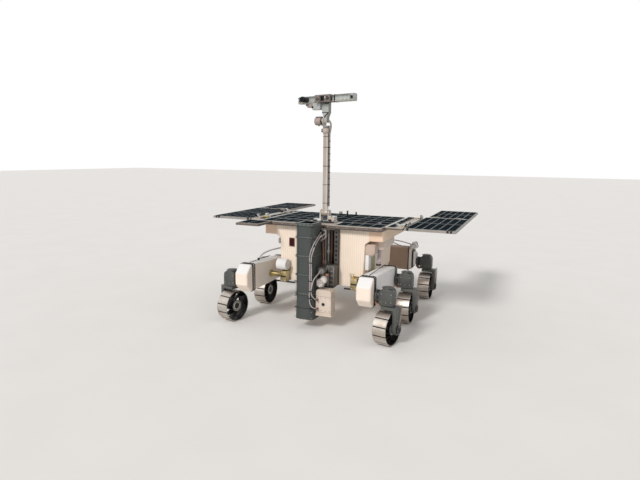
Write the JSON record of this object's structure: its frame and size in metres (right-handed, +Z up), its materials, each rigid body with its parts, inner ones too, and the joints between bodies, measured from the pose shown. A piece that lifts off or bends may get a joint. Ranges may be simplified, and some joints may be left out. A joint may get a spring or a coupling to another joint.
{
  "type": "six-wheeled planetary rover",
  "caption": "Wheeled planetary exploration rover with folding solar wings, a panning camera mast and a drill box that turns and lowers at its front.",
  "frame": {"origin": "on the ground at the middle of the plan", "axes": "+X to the rover's left side, -Y ahead, +Z up"},
  "size_m": [2.35, 2.103, 2.02],
  "materials": {
    "blanket": "quilted cream thermal blanket",
    "grey_metal": "dark grey anodised metal",
    "tread_metal": "bare satin metal, dusty",
    "panel": "beige composite sheet",
    "cells": "dark blue-black solar cells under cover glass",
    "mast_paint": "beige-grey satin paint",
    "bright_metal": "machined metal",
    "gold_metal": "gold chromate finish",
    "drill_paint": "dark grey-green satin paint",
    "dark_metal": "black satin metal",
    "cable": "pale cable jackets"
  },
  "bodies": {
    "rover_body": {"body_tub": "blanket", "side_boxes": "blanket", "deck_panel": "panel", "deck_cells": "cells", "bogie_beam_left": "blanket", "bogie_beam_right": "blanket", "bogie_beam_rear": "blanket", "bogie_pivots": "gold_metal", "steering_actuators": "grey_metal", "mast_base": "bright_metal", "drill_rack": "dark_metal", "bay_rods": "bright_metal", "wing_hinges": "bright_metal", "equipment_boxes": "blanket", "deck_fittings": "bright_metal", "body_cables": "cable"},
    "wing_left_front": {"wing_left_front": "panel", "wing_left_front_cells": "cells"},
    "wing_left_rear": {"wing_left_rear": "panel", "wing_left_rear_cells": "cells"},
    "wing_right_front": {"wing_right_front": "panel", "wing_right_front_cells": "cells"},
    "wing_right_rear": {"wing_right_rear": "panel", "wing_right_rear_cells": "cells"},
    "mast": {"mast_tube": "mast_paint"},
    "pan_head": {"pan_head": "mast_paint"},
    "camera_head": {"camera_bench": "mast_paint", "cameras": "dark_metal"},
    "drill_carriage": {"drill_carriage": "grey_metal"},
    "drill": {"drill_box": "drill_paint", "drill_bracket": "grey_metal", "instrument_box": "blanket", "drill_cables": "cable"},
    "leg_front_left": {"leg_front_left": "grey_metal"},
    "wheel_front_left": {"wheel_front_left": "tread_metal"},
    "leg_front_right": {"leg_front_right": "grey_metal"},
    "wheel_front_right": {"wheel_front_right": "tread_metal"},
    "leg_middle_left": {"leg_middle_left": "grey_metal"},
    "wheel_middle_left": {"wheel_middle_left": "tread_metal"},
    "leg_middle_right": {"leg_middle_right": "grey_metal"},
    "wheel_middle_right": {"wheel_middle_right": "tread_metal"},
    "leg_rear_left": {"leg_rear_left": "grey_metal"},
    "wheel_rear_left": {"wheel_rear_left": "tread_metal"},
    "leg_rear_right": {"leg_rear_right": "grey_metal"},
    "wheel_rear_right": {"wheel_rear_right": "tread_metal"}
  },
  "joints": [
    {"name": "steer_front_left", "type": "hinge", "parent": "rover_body", "child": "leg_front_left", "pos_m": [0.728, -0.9, 0.35], "axis": [0, 0, 1], "range_deg": [-47.7, 72.3]},
    {"name": "roll_front_left", "type": "hinge", "parent": "leg_front_left", "child": "wheel_front_left", "pos_m": [0.728, -0.9, 0.1425], "axis": [0.977, -0.213, 0], "continuous": true},
    {"name": "steer_front_right", "type": "hinge", "parent": "rover_body", "child": "leg_front_right", "pos_m": [-0.728, -0.9, 0.35], "axis": [0, 0, 1], "range_deg": [-47.7, 72.3]},
    {"name": "roll_front_right", "type": "hinge", "parent": "leg_front_right", "child": "wheel_front_right", "pos_m": [-0.728, -0.9, 0.1425], "axis": [0.977, -0.213, 0], "continuous": true},
    {"name": "steer_middle_left", "type": "hinge", "parent": "rover_body", "child": "leg_middle_left", "pos_m": [0.728, -0.29, 0.35], "axis": [0, 0, 1], "range_deg": [-60, 60]},
    {"name": "roll_middle_left", "type": "hinge", "parent": "leg_middle_left", "child": "wheel_middle_left", "pos_m": [0.728, -0.29, 0.1425], "axis": [1, 0, 0], "continuous": true},
    {"name": "steer_middle_right", "type": "hinge", "parent": "rover_body", "child": "leg_middle_right", "pos_m": [-0.728, -0.29, 0.35], "axis": [0, 0, 1], "range_deg": [-60, 60]},
    {"name": "roll_middle_right", "type": "hinge", "parent": "leg_middle_right", "child": "wheel_middle_right", "pos_m": [-0.728, -0.29, 0.1425], "axis": [1, 0, 0], "continuous": true},
    {"name": "steer_rear_left", "type": "hinge", "parent": "rover_body", "child": "leg_rear_left", "pos_m": [0.728, 0.585, 0.35], "axis": [0, 0, 1], "range_deg": [-60, 60]},
    {"name": "roll_rear_left", "type": "hinge", "parent": "leg_rear_left", "child": "wheel_rear_left", "pos_m": [0.728, 0.585, 0.1425], "axis": [1, 0, 0], "continuous": true},
    {"name": "steer_rear_right", "type": "hinge", "parent": "rover_body", "child": "leg_rear_right", "pos_m": [-0.728, 0.585, 0.35], "axis": [0, 0, 1], "range_deg": [-60, 60]},
    {"name": "roll_rear_right", "type": "hinge", "parent": "leg_rear_right", "child": "wheel_rear_right", "pos_m": [-0.728, 0.585, 0.1425], "axis": [1, 0, 0], "continuous": true},
    {"name": "fold_wing_left", "type": "hinge", "parent": "rover_body", "child": "wing_left_front", "pos_m": [0.7435, -0.1, 0.922], "axis": [0, -1, 0], "range_deg": [0, 180]},
    {"name": "fold_wing_left_rear", "type": "hinge", "parent": "wing_left_front", "child": "wing_left_rear", "pos_m": [0.96, 0.327, 0.906], "axis": [1, 0, 0], "range_deg": [0, 180]},
    {"name": "fold_wing_right", "type": "hinge", "parent": "rover_body", "child": "wing_right_front", "pos_m": [-0.7435, -0.1, 0.922], "axis": [0, 1, 0], "range_deg": [0, 180]},
    {"name": "fold_wing_right_rear", "type": "hinge", "parent": "wing_right_front", "child": "wing_right_rear", "pos_m": [-0.96, 0.327, 0.906], "axis": [1, 0, 0], "range_deg": [0, 180]},
    {"name": "fold_mast", "type": "hinge", "parent": "rover_body", "child": "mast", "pos_m": [0, -0.47, 0.985], "axis": [-1, 0, 0], "range_deg": [0, 90]},
    {"name": "pan", "type": "hinge", "parent": "mast", "child": "pan_head", "pos_m": [0, -0.47, 1.8], "axis": [0, 0, 1], "range_deg": [-166, 194]},
    {"name": "tilt", "type": "hinge", "parent": "pan_head", "child": "camera_head", "pos_m": [0, -0.47, 1.8], "axis": [-0.9703, 0.2419, 0], "range_deg": [-90, 90]},
    {"name": "lift_drill", "type": "slide", "parent": "rover_body", "child": "drill_carriage", "axis": [0, 0, 1], "range_m": [-0.08, 0.06]},
    {"name": "turn_drill", "type": "hinge", "parent": "drill_carriage", "child": "drill", "pos_m": [0.1, -0.7, 0.512], "axis": [0, 1, 0], "range_deg": [0, 90]}
  ]
}
